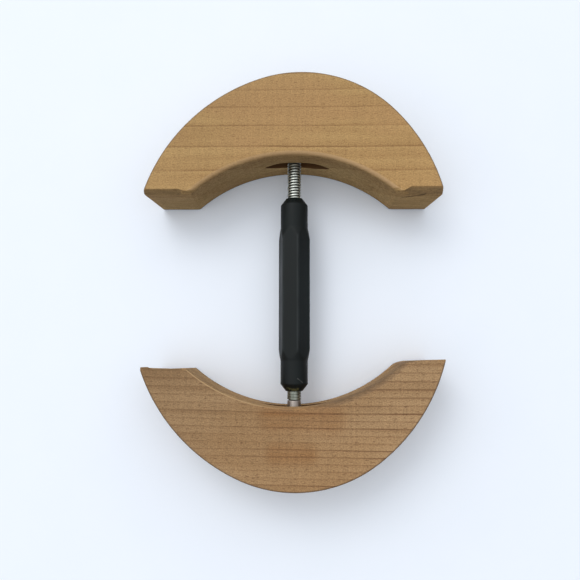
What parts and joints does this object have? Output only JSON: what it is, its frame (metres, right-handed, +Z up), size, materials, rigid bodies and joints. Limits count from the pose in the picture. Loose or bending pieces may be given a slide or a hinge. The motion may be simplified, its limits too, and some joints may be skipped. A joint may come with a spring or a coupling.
{
  "type": "hat stretcher",
  "caption": "Hat stretcher: half-moon wooden blocks pushed apart by a black hexagonal turnbuckle on threaded rods of opposite hand.",
  "frame": {"origin": "under the middle of the whole length, on the plane that both blocks lie on", "axes": "+X across the blocks, +Y from the rear block to the front block along the rods, +Z up"},
  "size_m": [0.1353, 0.1878, 0.03],
  "materials": {
    "wood": "sanded bare hardwood, grain across the block",
    "pin_steel": "plain steel dowel",
    "zinc_steel": "bright zinc plate",
    "brass": "turned",
    "black_grip": "matte black with a slight sheen"
  },
  "bodies": {
    "rear_block": {"rear_block": "wood", "rear_pivot_pin": "pin_steel"},
    "rear_rod": {"rear_eye_rod": "zinc_steel"},
    "bushes": {"rear_bush": "brass", "front_bush": "brass"},
    "grip": {"hex_grip": "black_grip"},
    "front_rod": {"front_eye_rod": "zinc_steel"},
    "front_block": {"front_block": "wood", "front_pivot_pin": "pin_steel"}
  },
  "joints": [
    {"name": "rear_swing", "type": "hinge", "parent": "rear_block", "child": "rear_rod", "pos_m": [0, -0.06615, 0.015], "axis": [0, 0, 1], "range_deg": [-23, 27]},
    {"name": "rear_screw", "type": "slide", "parent": "rear_rod", "child": "bushes", "axis": [0, 1, 0], "range_m": [-0.0037, 0.0189]},
    {"name": "grip_turn", "type": "hinge", "parent": "bushes", "child": "grip", "pos_m": [0, -0.0053, 0.015], "axis": [0, 1, 0], "range_deg": [-1140, 5480]},
    {"name": "front_screw", "type": "slide", "parent": "bushes", "child": "front_rod", "axis": [0, 1, 0], "range_m": [-0.004, 0.0193]},
    {"name": "front_swing", "type": "hinge", "parent": "front_rod", "child": "front_block", "pos_m": [0, 0.06495, 0.015], "axis": [0, 0, 1], "range_deg": [-25, 25]}
  ],
  "couplings": [
    {"joint": "grip_turn", "follows": "rear_screw", "rad_per_m": 4947.4},
    {"joint": "front_screw", "follows": "rear_screw", "ratio": 1}
  ]
}
